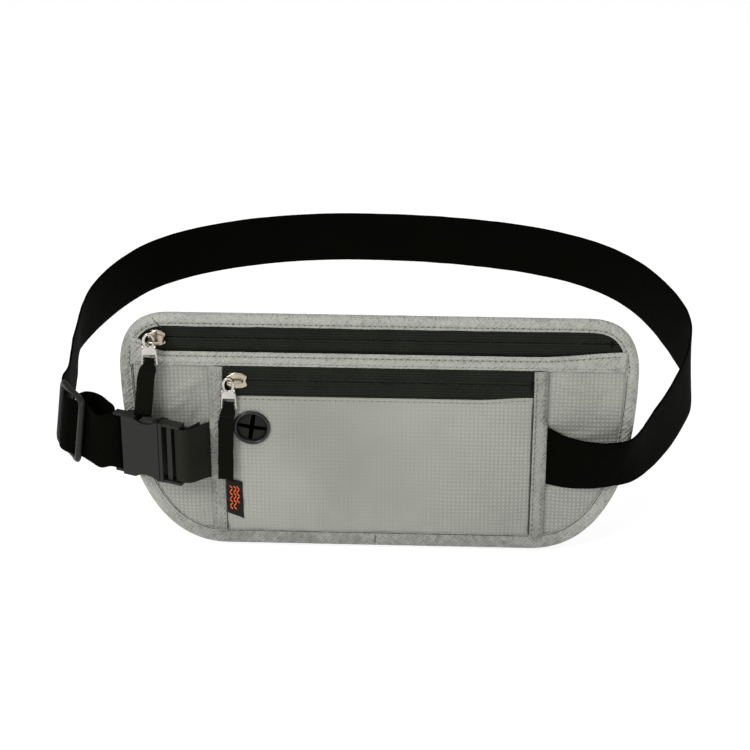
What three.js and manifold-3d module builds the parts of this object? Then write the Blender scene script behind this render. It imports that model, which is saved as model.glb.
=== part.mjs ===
// Flat zipped money belt, worn round the waist: a two-pocket fabric bag, an elastic webbing strap
// with a strap adjuster, and a side-release buckle.
// Millimetres. +X is to the right of someone who looks at the front of the bag, +Y runs from the
// bag towards the wearer's back, +Z is up. The origin is the middle of the waist loop, at the
// height of the strap's centre line.
import * as THREE from 'three';
import Module from 'manifold-3d';
import { mergeVertices } from 'three/addons/utils/BufferGeometryUtils.js';

const wasm = await Module();
wasm.setup();

// ---------- driving dimensions ----------
const BACK_Y = -107.3;            // flat back face of the bag
const BAG = {
  top: 73.9,                      // height of the top edge
  bottom: -54.9,                  // height of the bottom edge
  half: 129.6,                    // half of the greatest width
  waistTop: 44,                   // the sides are widest from here ...
  waistBottom: -17,               // ... and slant in below here
  halfLow: 122.5,                 // half width at waistBottom
  topFlat: 104,                   // half length of the straight top edge
  bottomFlat: 78,                 // half length of the straight bottom edge
};
// The binding shows 6.6 mm at the sides; its opening sits higher, so it is narrower at the top.
const BINDING = { width: 6.6, raise: 1.9, wall: 1.2, lip: 0.6 };
// Layers of the bag: distances in front of the back face, [near, far].
const LAYER = {
  back: [0, 1.2],
  lining: [1.5, 1.8],
  front: [3.4, 4.4],
  frontZipCoil: [2.85, 3.4],
  frontZipTape: [3.7, 4.2],
  pocketZipCoil: [5.3, 5.7],
  pocketZipTape: [6.0, 6.4],
  pocket: [5.6, 6.5],
  vertical: [4.7, 7.2],
  band: [4.7, 6.6],
  bound: [-0.3, 4.7],             // what the folded binding takes between its lips
};
const TOP_ZIP_Z = 61.7;
const POCKET_ZIP_Z = 39.5;
const BAND = { low: 47.4, high: 55, ridge: 52 };
const TAPE = { inner: 78, outer: 85, low: -46.6, high: 47.1 };
const POCKET = { half: 77.7, low: -46.6, high: 30.9 };
const ZIP_GAP = 1.0;              // between the two coils and the two tapes
const PORT = { x: -63.8, z: 13.6, rim: 9.7, hole: 8.1 };

const WEB = { width: 32, thick: 1.3, narrow: 29.4, step: 6 };
const STRAP_Y = BACK_Y - 5.4;     // the strap ends lie under the vertical tapes at this depth
const SEAM = { x: 24.6, y: 187.7 };  // where the webbing flexes when the belt is opened

const BUCKLE = { x: -108.1, y: -125, z: 5.6, turn: 157, half: 16.4, slot: 15, depth: 4 };
const END_BAR = { female: 25.2, male: -10.9, radius: 1.3 };
// The adjuster's upper edge also leans towards the wearer, by roll degrees.
const GLIDE = {
  x: -160.6, y: -91, z: 4, turn: 119, roll: 8, half: 17.2, inner: 15, long: 16.3,
};

const SLIDER = { plateLong: 10.4, plateWide: 8.6, legShift: -5.1, topX: -108.2, pocketX: -69.8 };
const PULL = { thick: 0.9, bar: -12.3, tabWide: 7.3, tabThick: 1.4 };
// How far in front of the back face each puller hangs. The top one passes over the pocket's.
const TOP_PULL_DEPTH = 10.35;
const POCKET_PULL_DEPTH = 7.85;
// How much higher the top puller sits on its slider's leg than the pocket's does.
const TOP_PULL_LIFT = 2.4;

const COLOURS = {
  shell: [0.36, 0.37, 0.33],
  trim: [0.38, 0.39, 0.36],
  foil: [0.45, 0.46, 0.47],
  black: [0.012, 0.013, 0.011],
  webbing: [0.006, 0.007, 0.005],
  plastic: [0.03, 0.031, 0.028],
  metal: [0.62, 0.6, 0.56],
  label: [0.01, 0.009, 0.008],
};

// ---------- helpers ----------
const root = new THREE.Group();

function add(parent, name, geometry, colour, roughness = 0.8, metalness = 0) {
  const material = new THREE.MeshStandardMaterial({ roughness, metalness });
  material.color.setRGB(...colour);
  const mesh = new THREE.Mesh(geometry, material);
  mesh.name = name;
  parent.add(mesh);
  return mesh;
}

function solid(geometry) {
  const bare = geometry.clone();
  bare.deleteAttribute('normal');
  bare.deleteAttribute('uv');
  const merged = mergeVertices(bare, 1e-4);
  return new wasm.Manifold(new wasm.Mesh({
    numProp: 3,
    vertProperties: new Float32Array(merged.attributes.position.array),
    triVerts: new Uint32Array(merged.index.array),
  }));
}

function geometryOf(body) {
  const mesh = body.getMesh();
  const geometry = new THREE.BufferGeometry();
  geometry.setAttribute('position', new THREE.Float32BufferAttribute(mesh.vertProperties, 3));
  geometry.setIndex(Array.from(mesh.triVerts));
  return geometry;
}

// A flat piece: a shape in X and Z, as thick as from yBack (greater) to yFront (less).
function plate(shape, yBack, yFront, curveSegments = 10) {
  const geometry = new THREE.ExtrudeGeometry(shape, {
    depth: yBack - yFront, bevelEnabled: false, steps: 1, curveSegments,
  });
  geometry.rotateX(Math.PI / 2);
  geometry.translate(0, yBack, 0);
  return solid(geometry);
}

// The same, given as distances in front of the bag's back face.
function layer(shape, [near, far], curveSegments = 10) {
  return plate(shape, BACK_Y - near, BACK_Y - far, curveSegments);
}

function polygon(points) {
  return new THREE.Shape(points.map((p) => new THREE.Vector2(...p)));
}

function rectangle(x0, x1, z0, z1) {
  return polygon([[x0, z0], [x1, z0], [x1, z1], [x0, z1]]);
}

// A rectangle given by its distances from the middle, on the right for side 1 and left for -1.
function sideRectangle(side, inner, outer, z0, z1) {
  return side > 0 ? rectangle(inner, outer, z0, z1) : rectangle(-outer, -inner, z0, z1);
}

function disc(x, z, radius) {
  const shape = new THREE.Shape();
  shape.absarc(x, z, radius, 0, 2 * Math.PI);
  return shape;
}

function union(first, ...rest) {
  return rest.reduce((sum, next) => sum.add(next), first);
}

// ---------- the bag's outline ----------
function outlinePoints() {
  const b = BAG;
  const right = new THREE.CurvePath();
  const at = (x, z) => new THREE.Vector2(x, z);
  right.add(new THREE.CubicBezierCurve(
    at(b.bottomFlat, b.bottom), at(102, b.bottom), at(115, -37), at(b.halfLow, b.waistBottom)));
  right.add(new THREE.QuadraticBezierCurve(
    at(b.halfLow, b.waistBottom), at(b.half, 10), at(b.half, b.waistTop)));
  right.add(new THREE.CubicBezierCurve(
    at(b.half, b.waistTop), at(b.half, 66), at(119, b.top), at(b.topFlat, b.top)));
  const side = right.getPoints(11);
  const mirrored = side.map((p) => at(-p.x, p.y)).reverse();
  return [...side, ...mirrored];
}

// The outline moved inwards by a distance, and up. It runs anticlockwise and is convex.
function inset(points, distance, raise = 0) {
  const count = points.length;
  const moved = points.map((p, i) => {
    const before = points[(i + count - 1) % count];
    const after = points[(i + 1) % count];
    const along = after.clone().sub(before).normalize();
    return new THREE.Vector2(p.x - along.y * distance, p.y + along.x * distance + raise);
  });
  return new THREE.Shape(moved);
}

const OUTLINE = outlinePoints();
const ALL_DEPTHS = [-3, 12];
const slab = (distance, depths) => layer(inset(OUTLINE, distance), depths);

function bindingOpening(clearance) {
  return layer(inset(OUTLINE, BINDING.width + clearance, BINDING.raise), ALL_DEPTHS);
}

const insideBinding = bindingOpening(0.3);

// ---------- bag panels ----------
function bagPanels() {
  const under = rectangle(-140, 140, -60, 52.4);
  add(root, 'back_panel', geometryOf(slab(1.6, LAYER.back)), COLOURS.shell);
  add(root, 'shield_lining', geometryOf(slab(9, LAYER.lining)), COLOURS.foil, 0.35, 0.6);
  const front = slab(1.6, LAYER.front).intersect(layer(under, ALL_DEPTHS));
  add(root, 'main_front_panel', geometryOf(front), COLOURS.shell);

  const lip = BINDING.lip;
  const [near, far] = LAYER.bound;
  const whole = slab(0, [near - lip, far + lip]);
  const channel = slab(BINDING.wall, [near, far]);
  const folded = whole.subtract(channel).subtract(bindingOpening(0));
  add(root, 'edge_binding', geometryOf(folded), COLOURS.trim);
}

// The folded strip between the two zips: thin at the top, thick where it overhangs the pocket.
function zipBand() {
  const [near, far] = LAYER.band;
  const section = polygon([
    [-near, BAND.low], [-near, BAND.high], [-near - 1, BAND.high], [-far, BAND.ridge],
    [-far, BAND.low],
  ]);
  const bar = new THREE.ExtrudeGeometry(section, { depth: 260, bevelEnabled: false, steps: 1 });
  // The section's first axis is -Y, its second is Z, and it is swept along X.
  const toFrame = new THREE.Matrix4().makeBasis(
    new THREE.Vector3(0, 1, 0), new THREE.Vector3(0, 0, 1), new THREE.Vector3(1, 0, 0));
  bar.applyMatrix4(toFrame);
  bar.translate(-130, BACK_Y, 0);
  add(root, 'zip_band', geometryOf(solid(bar).intersect(insideBinding)), COLOURS.trim);
}

function frontPocket() {
  const hem = 1.5;
  const face = layer(rectangle(-POCKET.half, POCKET.half, POCKET.low, POCKET.high), LAYER.pocket);
  const foot = layer(rectangle(-POCKET.half, POCKET.half, POCKET.low, POCKET.low + hem), [4.7, 5.7]);
  const hole = layer(disc(PORT.x, PORT.z, PORT.hole), ALL_DEPTHS, 24);
  const panel = face.add(foot).subtract(hole).intersect(insideBinding);
  add(root, 'pocket_panel', geometryOf(panel), COLOURS.shell);

  // Each vertical tape covers the pocket's side edge and the end of a strap.
  for (const [name, side] of [['left_tape', -1], ['right_tape', 1]]) {
    const tape = layer(sideRectangle(side, TAPE.inner, TAPE.outer, TAPE.low, TAPE.high), LAYER.vertical);
    const slotHalf = WEB.width / 2 + 0.4;
    const slot = layer(sideRectangle(side, TAPE.inner + 1, 90, -slotHalf, slotHalf), [4.4, 6.35]);
    add(root, name, geometryOf(tape.subtract(slot).intersect(insideBinding)), COLOURS.trim);
  }

  const tag = polygon([[-77.4, -15.6], [-77.4, -35.2], [-69, -38.4], [-69.4, -17.4]]);
  add(root, 'side_label', geometryOf(layer(tag, [6.8, 7.3])), COLOURS.label, 0.6);
}

function cablePort() {
  const { x, z, rim, hole } = PORT;
  const sleeve = hole - 0.3;
  const slit = { long: 6.5, half: 0.45 };
  const flange = layer(disc(x, z, rim), [6.8, 7.3], 24);
  const neck = layer(disc(x, z, sleeve), [5.4, 6.9], 24);
  const dish = layer(disc(x, z, sleeve - 0.9), [6.3, 8], 24);
  const across = rectangle(x - slit.long, x + slit.long, z - slit.half, z + slit.half);
  const down = rectangle(x - slit.half, x + slit.half, z - slit.long, z + slit.long);
  const cross = layer(across, ALL_DEPTHS).add(layer(down, ALL_DEPTHS));
  const port = flange.add(neck).subtract(dish).subtract(cross);
  add(root, 'cable_port', geometryOf(port), COLOURS.plastic, 0.55);
  const ringHole = layer(disc(x, z, sleeve), ALL_DEPTHS, 24);
  const ring = layer(disc(x, z, rim), [4.8, 5.3], 24).subtract(ringHole);
  add(root, 'cable_port_ring', geometryOf(ring), COLOURS.plastic, 0.6);
}

// ---------- zips ----------
// Two woven tapes with a coil sewn behind the inner edge of each, and a stop at both ends.
function zip(name, centre, half, stopX, reachUp, reachDown, tapeDepths, coilDepths) {
  const gap = ZIP_GAP / 2;
  const coilWide = 1.4;
  const clip = slab(3, ALL_DEPTHS);
  const strip = (z0, z1, depths, x = half) => layer(rectangle(-x, x, z0, z1), depths).intersect(clip);
  const parts = {
    tape_upper: strip(centre + gap, centre + reachUp, tapeDepths),
    tape_lower: strip(centre - reachDown, centre - gap, tapeDepths),
    coil_upper: strip(centre + gap, centre + gap + coilWide, coilDepths, half - 3),
    coil_lower: strip(centre - gap - coilWide, centre - gap, coilDepths, half - 3),
  };
  for (const [part, body] of Object.entries(parts)) {
    add(root, `${name}_${part}`, geometryOf(body), COLOURS.black, part.startsWith('coil') ? 0.4 : 0.9);
  }
  const front = tapeDepths[1] + 0.25;
  for (const [end, x] of [['left', -stopX], ['right', stopX]]) {
    const stop = layer(rectangle(x - 0.45, x + 0.45, centre - 1.6, centre + 1.6), [front, front + 0.5]);
    add(root, `${name}_stop_${end}`, geometryOf(stop), COLOURS.black, 0.5);
  }
}

// A slider clasps the tapes: a front plate, a rear plate behind the coils and a thin neck in the
// gap. Its crown is a bridge whose left leg carries the puller.
function slider(name, x, z, rear, front, pullDepth) {
  const { plateLong, plateWide, legShift } = SLIDER;
  const leg = x + legShift;
  const plateLeft = leg - 1.0;
  const barDepth = [pullDepth + PULL.thick + 0.3, pullDepth + PULL.thick + 0.95];
  const nose = plateLeft + plateLong;
  const wide = plateWide / 2;
  const face = polygon([
    [plateLeft, z - wide + 1.2], [plateLeft + 1.2, z - wide], [nose - 3, z - wide], [nose, z - 2.2],
    [nose, z + 2.2], [nose - 3, z + wide], [plateLeft + 1.2, z + wide], [plateLeft, z + wide - 1.2],
  ]);
  const body = union(
    layer(face, front),
    layer(rectangle(x - 3.4, x + 3.6, z - 3.1, z + 3.1), rear),
    layer(rectangle(x - 1.4, x + 1.6, z - 0.25, z + 0.25), [rear[0] + 0.1, front[1] - 0.1]),
    layer(rectangle(leg - 0.6, leg + 0.6, z - 0.6, z + 0.6), [front[1] - 0.1, barDepth[1]]),
    layer(rectangle(leg - 0.6, leg + 7.8, z - 0.6, z + 0.6), barDepth),
    layer(rectangle(leg + 6.4, leg + 7.8, z - 0.6, z + 0.6), [front[1] - 0.1, barDepth[1]]),
  );
  add(root, name, geometryOf(body), COLOURS.metal, 0.35, 0.9);
  return leg;
}

// A puller: an eye that hangs on the slider's leg, a cross plate, and two legs astride a bar.
// Its own origin is the middle of the leg it hangs on, or a little above it.
function puller(name, x, z, depth) {
  const shape = new THREE.Shape();
  shape.moveTo(-4.1, -15.6);
  shape.lineTo(-3.1, -15.6);
  shape.lineTo(-3.1, -9);
  shape.lineTo(3.1, -9);
  shape.lineTo(3.1, -15.6);
  shape.lineTo(4.1, -15.6);
  shape.lineTo(3.3, -3);
  shape.absarc(0, -1.0, 3.3, -0.3, Math.PI + 0.3);
  shape.lineTo(-3.3, -3);
  shape.closePath();
  const eye = new THREE.Path();
  eye.absellipse(0, -2.1, 1.9, 3.0, 0, 2 * Math.PI, true);
  shape.holes.push(eye);
  const frame = plate(shape, 0, -PULL.thick, 8);
  const bar = plate(rectangle(-3.3, 3.3, PULL.bar - 0.45, PULL.bar + 0.45), 0, -PULL.thick);
  const mesh = add(root, name, geometryOf(frame.add(bar)), COLOURS.metal, 0.3, 0.9);
  mesh.position.set(x, BACK_Y - depth, z);
}

// A webbing tab folded round the puller's bar, leaning by a few degrees as it hangs.
function pullTab(name, x, z, depth, drop, lean) {
  const headRadius = 1.5;
  const neckHalf = 2.3;
  const wideFrom = -3.9;
  const head = new THREE.CylinderGeometry(headRadius, headRadius, 2 * neckHalf, 16);
  head.rotateZ(Math.PI / 2);
  const bore = new THREE.CylinderGeometry(0.92, 0.92, 10, 12);
  bore.rotateZ(Math.PI / 2);
  const half = PULL.tabThick / 2;
  const neck = plate(rectangle(-neckHalf, neckHalf, wideFrom - 0.5, 0), half, -half);
  const wide = PULL.tabWide / 2;
  const blade = plate(polygon([
    [-neckHalf, wideFrom], [-wide, wideFrom - 1], [-wide, -drop], [wide, -drop],
    [wide, wideFrom - 1], [neckHalf, wideFrom],
  ]), half, -half);
  const body = union(solid(head), neck, blade).subtract(solid(bore));
  const mesh = add(root, name, geometryOf(body), COLOURS.webbing, 0.9);
  mesh.position.set(x, BACK_Y - depth - PULL.thick / 2, z + PULL.bar);
  mesh.rotation.y = THREE.MathUtils.degToRad(lean);
}

function zips() {
  zip('top_zip', TOP_ZIP_Z, 121, 115.2, 9, 8.9, LAYER.frontZipTape, LAYER.frontZipCoil);
  zip('pocket_zip', POCKET_ZIP_Z, 77.4, 76.75, 7.9, 8.2, LAYER.pocketZipTape, LAYER.pocketZipCoil);

  const topLeg = slider('top_slider', SLIDER.topX, TOP_ZIP_Z, [2.15, 2.55], [5.6, 6.2], TOP_PULL_DEPTH);
  puller('top_puller', topLeg, TOP_ZIP_Z + TOP_PULL_LIFT, TOP_PULL_DEPTH);
  pullTab('top_pull_tab', topLeg, TOP_ZIP_Z + TOP_PULL_LIFT, TOP_PULL_DEPTH, 30.4, 6);

  const pocketLeg = slider(
    'pocket_slider', SLIDER.pocketX, POCKET_ZIP_Z, [4.65, 5.05], [6.65, 7.25], POCKET_PULL_DEPTH);
  puller('pocket_puller', pocketLeg, POCKET_ZIP_Z, POCKET_PULL_DEPTH);
  pullTab('pocket_pull_tab', pocketLeg, POCKET_ZIP_Z, POCKET_PULL_DEPTH, 41.5, 2.5);
}

// ---------- webbing ----------
// A route is a list of [x, y, z, lean, width]: the middle of the webbing, how many degrees its
// upper edge leans outwards, and how wide it is there. The webbing's outer side is on the left of
// the route seen from above when side is 1, and on its right when side is -1.
function ribbon(route, side) {
  const middles = route.map(([x, y, z]) => new THREE.Vector3(x, y, z));
  const curve = new THREE.CatmullRomCurve3(middles, false, 'centripetal');
  const last = route.length - 1;
  const stations = [];
  for (let i = 0; i < last; i += 1) {
    const length = Math.hypot(route[i + 1][0] - route[i][0], route[i + 1][1] - route[i][1]);
    const count = Math.max(3, Math.ceil(length / WEB.step));
    for (let k = 0; k < count; k += 1) stations.push([i, k / count]);
  }
  stations.push([last - 1, 1]);

  const up = new THREE.Vector3(0, 0, 1);
  const positions = [];
  for (const [i, part] of stations) {
    const t = (i + part) / last;
    const middle = curve.getPoint(t);
    const along = curve.getTangent(t).setZ(0).normalize();
    const outward = up.clone().cross(along).multiplyScalar(side);
    const lean = THREE.MathUtils.degToRad(THREE.MathUtils.lerp(route[i][3], route[i + 1][3], part));
    const width = THREE.MathUtils.lerp(route[i][4], route[i + 1][4], part);
    const across = up.clone().applyAxisAngle(along, -side * lean);
    const through = outward.clone().applyAxisAngle(along, -side * lean);
    for (const [a, b] of [[1, 1], [-1, 1], [-1, -1], [1, -1]]) {
      const corner = middle.clone().addScaledVector(across, a * width / 2);
      corner.addScaledVector(through, b * WEB.thick / 2);
      positions.push(corner.x, corner.y, corner.z);
    }
  }

  const faces = [];
  const quad = (a, b, c, d) => {
    const order = side > 0 ? [a, c, b, a, d, c] : [a, b, c, a, c, d];
    faces.push(...order);
  };
  for (let s = 0; s < stations.length - 1; s += 1) {
    for (let k = 0; k < 4; k += 1) {
      const a = 4 * s + k;
      const b = 4 * s + ((k + 1) % 4);
      quad(a, b, b + 4, a + 4);
    }
  }
  const end = positions.length / 3 - 4;
  quad(3, 2, 1, 0);
  quad(end, end + 1, end + 2, end + 3);
  const geometry = new THREE.BufferGeometry();
  geometry.setAttribute('position', new THREE.Float32BufferAttribute(positions, 3));
  geometry.setIndex(faces);
  return geometry;
}

// A point given in the buckle's or the adjuster's own plane: along it, then outwards.
function placed(part, along, out) {
  const turn = THREE.MathUtils.degToRad(part.turn);
  return [
    part.x + along * Math.cos(turn) - out * Math.sin(turn),
    part.y + along * Math.sin(turn) + out * Math.cos(turn),
  ];
}
const onBuckle = (along, out) => [...placed(BUCKLE, along, out), BUCKLE.z, 0, WEB.narrow];
const onGlide = (along, out) => [...placed(GLIDE, along, out), GLIDE.z, -GLIDE.roll, WEB.narrow];

// Half a turn round a bar of the buckle, from its outer side to its inner side. The bend faces
// the buckle's middle, which is towards lower values of along when toward is -1.
function roundBar(along, toward) {
  const radius = 2.25;
  const points = [];
  for (let k = 0; k <= 4; k += 1) {
    const angle = Math.PI * k / 4;
    points.push(onBuckle(along + toward * radius * Math.sin(angle), radius * Math.cos(angle)));
  }
  return points;
}

const FULL = WEB.width;
const RIGHT_ROUTE = [
  [79.5, STRAP_Y, 0, 0, FULL], [84.8, STRAP_Y, 0, 0, FULL], [88.5, -115, 0, 3, FULL],
  [94, -119, 0, 9, FULL], [103, -122.2, 0, 15, FULL], [113, -122.6, 0, 19, FULL],
  [122.5, -119.4, 0, 20, FULL], [129.8, -111.8, 0, 10, FULL], [134.6, -103.8, 0, 4, FULL],
  [141.3, -90, 0, -2, FULL], [150, -70, 0, -5, FULL], [157.5, -49, 0, -7, FULL],
  [164.7, -25, 0, -8, FULL], [168.4, -2, 0, -4, FULL], [169.3, 20, 0, 4, FULL],
  [167.3, 43, 0, 10, FULL], [163, 66, 0, 11, FULL], [156.8, 89, 0, 9, FULL],
  [147.5, 113, 0, 6, FULL], [132, 137.5, 0, 2, FULL], [110.5, 157.3, 0, 0, FULL],
  [81, 173.3, 0, 0, FULL], [50, 182.8, 0, 0, FULL], [SEAM.x + 0.2, SEAM.y - 0.03, 0, 0, FULL],
];
const LEFT_ROUTE = [
  [SEAM.x - 0.2, SEAM.y + 0.03, 0, 0, FULL], [4, 189.9, 0, 0, FULL], [-12, 190.6, 0, 0, FULL],
  [-33, 190.7, 0, 0, FULL], [-54, 188.4, 0, 0, FULL], [-76, 183.6, 0, 0, FULL],
  [-102, 174, 0, 0, FULL], [-130, 157, 0, 0, FULL], [-151, 135, 0, 0, FULL],
  [-163.2, 111, 0, 0, FULL], [-170.8, 88, 0, -1, FULL], [-176, 64, 0, -4, FULL],
  [-178.2, 42, 0, -9, FULL], [-177, 24, 0.2, -7, FULL], [-174.8, 6, 0.4, -4, FULL],
  [-172.8, -14, 0.9, -2, FULL], [-170.6, -34, 1.6, -3, 31.4], [-169.1, -54, 2.8, -6, 30.4],
  onGlide(23, -2.4), onGlide(14.5, -2.9), onGlide(9, -0.6), onGlide(5, 2.8), onGlide(0, 4),
  onGlide(-5, 2.8), onGlide(-9, -0.6), onGlide(-14.5, -2.8), [-146.8, -107.6, 3.8, -3, 30],
  [-142, -112.4, 3, 0, 29.8], onBuckle(29.4, 2.6),
  ...roundBar(END_BAR.female, -1),
  onBuckle(28.8, -2.8), [-135.4, -105, 5.2, 0, 29.6], [-139.2, -99, 4.8, 0, 29.8],
  [-144, -92, 4.4, 0, 30], [-149, -87.4, 4, 0, 30], [-153.4, -85.8, 4, -3, 29.6],
  onGlide(1.5, -4.4),
];
const SHORT_ROUTE = [
  [-79.5, STRAP_Y, 0, 0, 31.4], [-84.8, STRAP_Y, 0, 0, 31.4], [-87.8, -115.6, 0.5, 0, 31],
  [-90.2, -120.5, 1.6, 0, 30.6], [-92.6, -126.5, 3.2, 0, 30], [-94.4, -130.3, 4.6, 0, 29.6],
  onBuckle(-13.1, 2),
  ...roundBar(END_BAR.male, 1),
  onBuckle(-12.9, -2.2), [-94, -124.5, 3.6, 0, 29.8], [-92, -119, 2, 0, 30.4],
  [-90.4, -115.2, 1.2, 0, 31],
];

function straps() {
  add(root, 'strap_right', ribbon(RIGHT_ROUTE, -1), COLOURS.webbing, 0.95);
  add(root, 'strap_left', ribbon(LEFT_ROUTE, -1), COLOURS.webbing, 0.95);
  add(root, 'strap_short', ribbon(SHORT_ROUTE, 1), COLOURS.webbing, 0.95);
}

// ---------- buckle and adjuster ----------
// Both are built in their own plane: X from the bag's side outwards along the strap, Y outwards
// from the wearer, Z up.
function hardwareGroup(part) {
  const group = new THREE.Group();
  group.position.set(part.x, part.y, part.z);
  group.rotation.order = 'ZYX';
  group.rotation.set(THREE.MathUtils.degToRad(part.roll ?? 0), 0, THREE.MathUtils.degToRad(part.turn));
  root.add(group);
  return group;
}

const block = (x0, x1, z0, z1, yBack, yFront) => plate(rectangle(x0, x1, z0, z1), yFront, yBack);

// A round bar along Z, for the webbing to turn round.
function post(x, half, radius) {
  const bar = new THREE.CylinderGeometry(radius, radius, 2 * half, 16);
  bar.rotateX(Math.PI / 2);
  bar.translate(x, 0, 0);
  return solid(bar);
}

function rails(x0, x1, half, inner, yBack, yFront) {
  return block(x0, x1, inner, half, yBack, yFront).add(block(x0, x1, -half, -inner, yBack, yFront));
}

function buckle() {
  const group = hardwareGroup(BUCKLE);
  const { half, slot, depth } = BUCKLE;

  // Female part: a flat box open at the mouth, with a side cut for each prong's button.
  const shell = union(
    block(0, 21, -half, half, -depth, depth),
    rails(20, 26.7, half, slot, -2.2, 2.2),
    post(END_BAR.female, slot + 0.5, END_BAR.radius),
  );
  let female = shell.subtract(block(-1, 17.5, -14.3, 14.3, -2.8, 2.8));
  female = female.subtract(rails(-1, 13.9, half + 1, 14, -2.8, 2.8));
  for (const side of [1, -1]) {
    const dip = new THREE.Shape();
    dip.moveTo(1, side * (half + 1));
    dip.lineTo(1, side * half);
    dip.quadraticCurveTo(7.5, side * (half - 4.4), 14, side * half);
    dip.lineTo(14, side * (half + 1));
    dip.closePath();
    female = female.subtract(plate(dip, 6, -6, 8));
  }
  add(group, 'buckle_female', geometryOf(female), COLOURS.plastic, 0.5);

  // Male part: a ladder for the webbing, a flange, and a guide tongue between the prongs.
  const male = union(
    block(-2.2, -0.3, -half, half, 0.2 - depth, depth - 0.2),
    rails(-12.2, -2, half, slot, -2.4, 3.4),
    block(-7, -4.4, -slot - 0.5, slot + 0.5, -1.6, 2.4),
    post(END_BAR.male, slot + 0.5, END_BAR.radius),
    block(-2, 15.5, -3.2, 3.2, -2.1, 2.1),
  );
  add(group, 'buckle_male', geometryOf(male), COLOURS.plastic, 0.5);

  for (const [name, side] of [['buckle_prong_upper', 1], ['buckle_prong_lower', -1]]) {
    const prong = polygon([
      [0.3, 9.4], [4, 9.2], [12, 9], [15.8, 9.8], [15.6, 11.6], [13, 13.4], [11.6, 15], [7.5, 15.5],
      [4, 15.8], [3, 13.6], [0.3, 13.2],
    ].map(([x, z]) => [x, side * z]));
    add(group, name, geometryOf(plate(prong, 2, -2)), COLOURS.plastic, 0.5);
  }
}

function glide() {
  const group = hardwareGroup(GLIDE);
  const { half, inner, long } = GLIDE;
  const frame = union(
    rails(-long, long, half, inner, -1.3, 1.3),
    block(-long, -long + 3, -inner - 0.5, inner + 0.5, -1.3, 1.3),
    block(-2, 2, -inner - 0.5, inner + 0.5, -1.3, 1.3),
    block(long - 3, long, -inner - 0.5, inner + 0.5, -1.3, 1.3),
  );
  add(group, 'tri_glide', geometryOf(frame), COLOURS.plastic, 0.5);
}

bagPanels();
zipBand();
frontPocket();
cablePort();
zips();
straps();
buckle();
glide();

export default root;
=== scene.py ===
"""A flat zipped money belt, worn round the waist. Lengths are in millimetres until build() scales them."""

import math

import bmesh
import bpy
import numpy as np
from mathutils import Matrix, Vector, noise


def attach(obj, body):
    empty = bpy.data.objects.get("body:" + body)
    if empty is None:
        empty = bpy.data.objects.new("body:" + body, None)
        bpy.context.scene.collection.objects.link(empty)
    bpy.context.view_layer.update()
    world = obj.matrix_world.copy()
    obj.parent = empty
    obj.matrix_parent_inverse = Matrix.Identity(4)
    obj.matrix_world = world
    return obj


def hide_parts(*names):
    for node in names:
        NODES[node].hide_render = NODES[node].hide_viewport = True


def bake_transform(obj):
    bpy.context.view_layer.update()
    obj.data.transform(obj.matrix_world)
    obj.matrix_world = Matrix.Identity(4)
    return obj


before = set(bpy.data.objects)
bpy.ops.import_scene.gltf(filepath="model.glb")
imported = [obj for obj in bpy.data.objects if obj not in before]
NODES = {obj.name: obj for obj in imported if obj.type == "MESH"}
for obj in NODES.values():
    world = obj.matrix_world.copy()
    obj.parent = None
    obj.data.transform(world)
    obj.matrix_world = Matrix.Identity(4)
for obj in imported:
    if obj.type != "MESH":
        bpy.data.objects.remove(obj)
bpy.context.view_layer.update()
MM = 0.001


def assign(target, **values):
    """Sets attributes of a Blender object and returns it."""
    for key, value in values.items():
        setattr(target, key, value)
    return target


def dial(node, values):
    """Sets inputs of a shader node and returns it."""
    for key, value in values.items():
        node.inputs[key].default_value = value
    return node


def add_object(name, data):
    added = bpy.data.objects.new(name, data)
    bpy.context.collection.objects.link(added)
    return added


def modifier(piece, kind, **settings):
    return assign(piece.modifiers.new(kind.lower(), kind), **settings)


# ---------- camera ----------
camera = add_object("camera", bpy.data.cameras.new("camera"))
assign(camera.data, lens=96, sensor_width=36, clip_start=0.01)
camera.location = (0.036254, -1.01492, 0.46439)
camera.rotation_euler = (math.radians(65), 0, math.radians(2.4))
bpy.context.scene.camera = camera

# ---------- the belt's own dimensions ----------
BACK_Y = -107.3  # the plane that depths are measured forwards from
TOP, BOTTOM, HALF = 73.9, -54.9, 129.6
WAIST_TOP, WAIST_BOTTOM, HALF_LOW = 44, -17, 122.5
TOP_FLAT, BOTTOM_FLAT = 104, 78
BINDING_WIDTH, BINDING_RAISE = 6.6, 1.9
STITCH_CHANGE_Z = 47  # the binding is sewn in lighter thread above this height
WING_X = 86  # the front panel is pinned between -WING_X and WING_X, under the pocket
POCKET_FOOT, POCKET_HEIGHT, POCKET_HALF = -46.4, 77.3, 77.6
TAPE_TOP = 47.0
TOP_ZIP_Z, POCKET_ZIP_Z, ZIP_GAP = 61.7, 39.5, 0.32
BAR_DROP = 12.3  # from a puller's eye down to the bar that holds its tab
PORT_X, PORT_Z, PORT_HOLE = -63.8, 13.6, 8.3
WEB_WIDTH, WEB_THICK, WEB_NARROW = 32, 1.3, 29.4
STRAP_Y = BACK_Y - 5.4
# The buckle and the adjuster: where each stands, and its turn and roll in degrees.
BUCKLE = {"x": -108.1, "y": -125, "z": 5.6, "turn": 157, "roll": 0}
GLIDE = {"x": -160.6, "y": -91, "z": 4, "turn": 119, "roll": 8}
FEMALE_BAR, MALE_BAR, BAR_RADIUS = 25.2, -10.9, 2.25
FRONT = np.array((0.0, -1.0, 0.0))
CLOTH_FRAMES = 20  # steps of the cloth simulation
SAMPLES_PER_MM = 0.4  # along a ribbon


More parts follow.
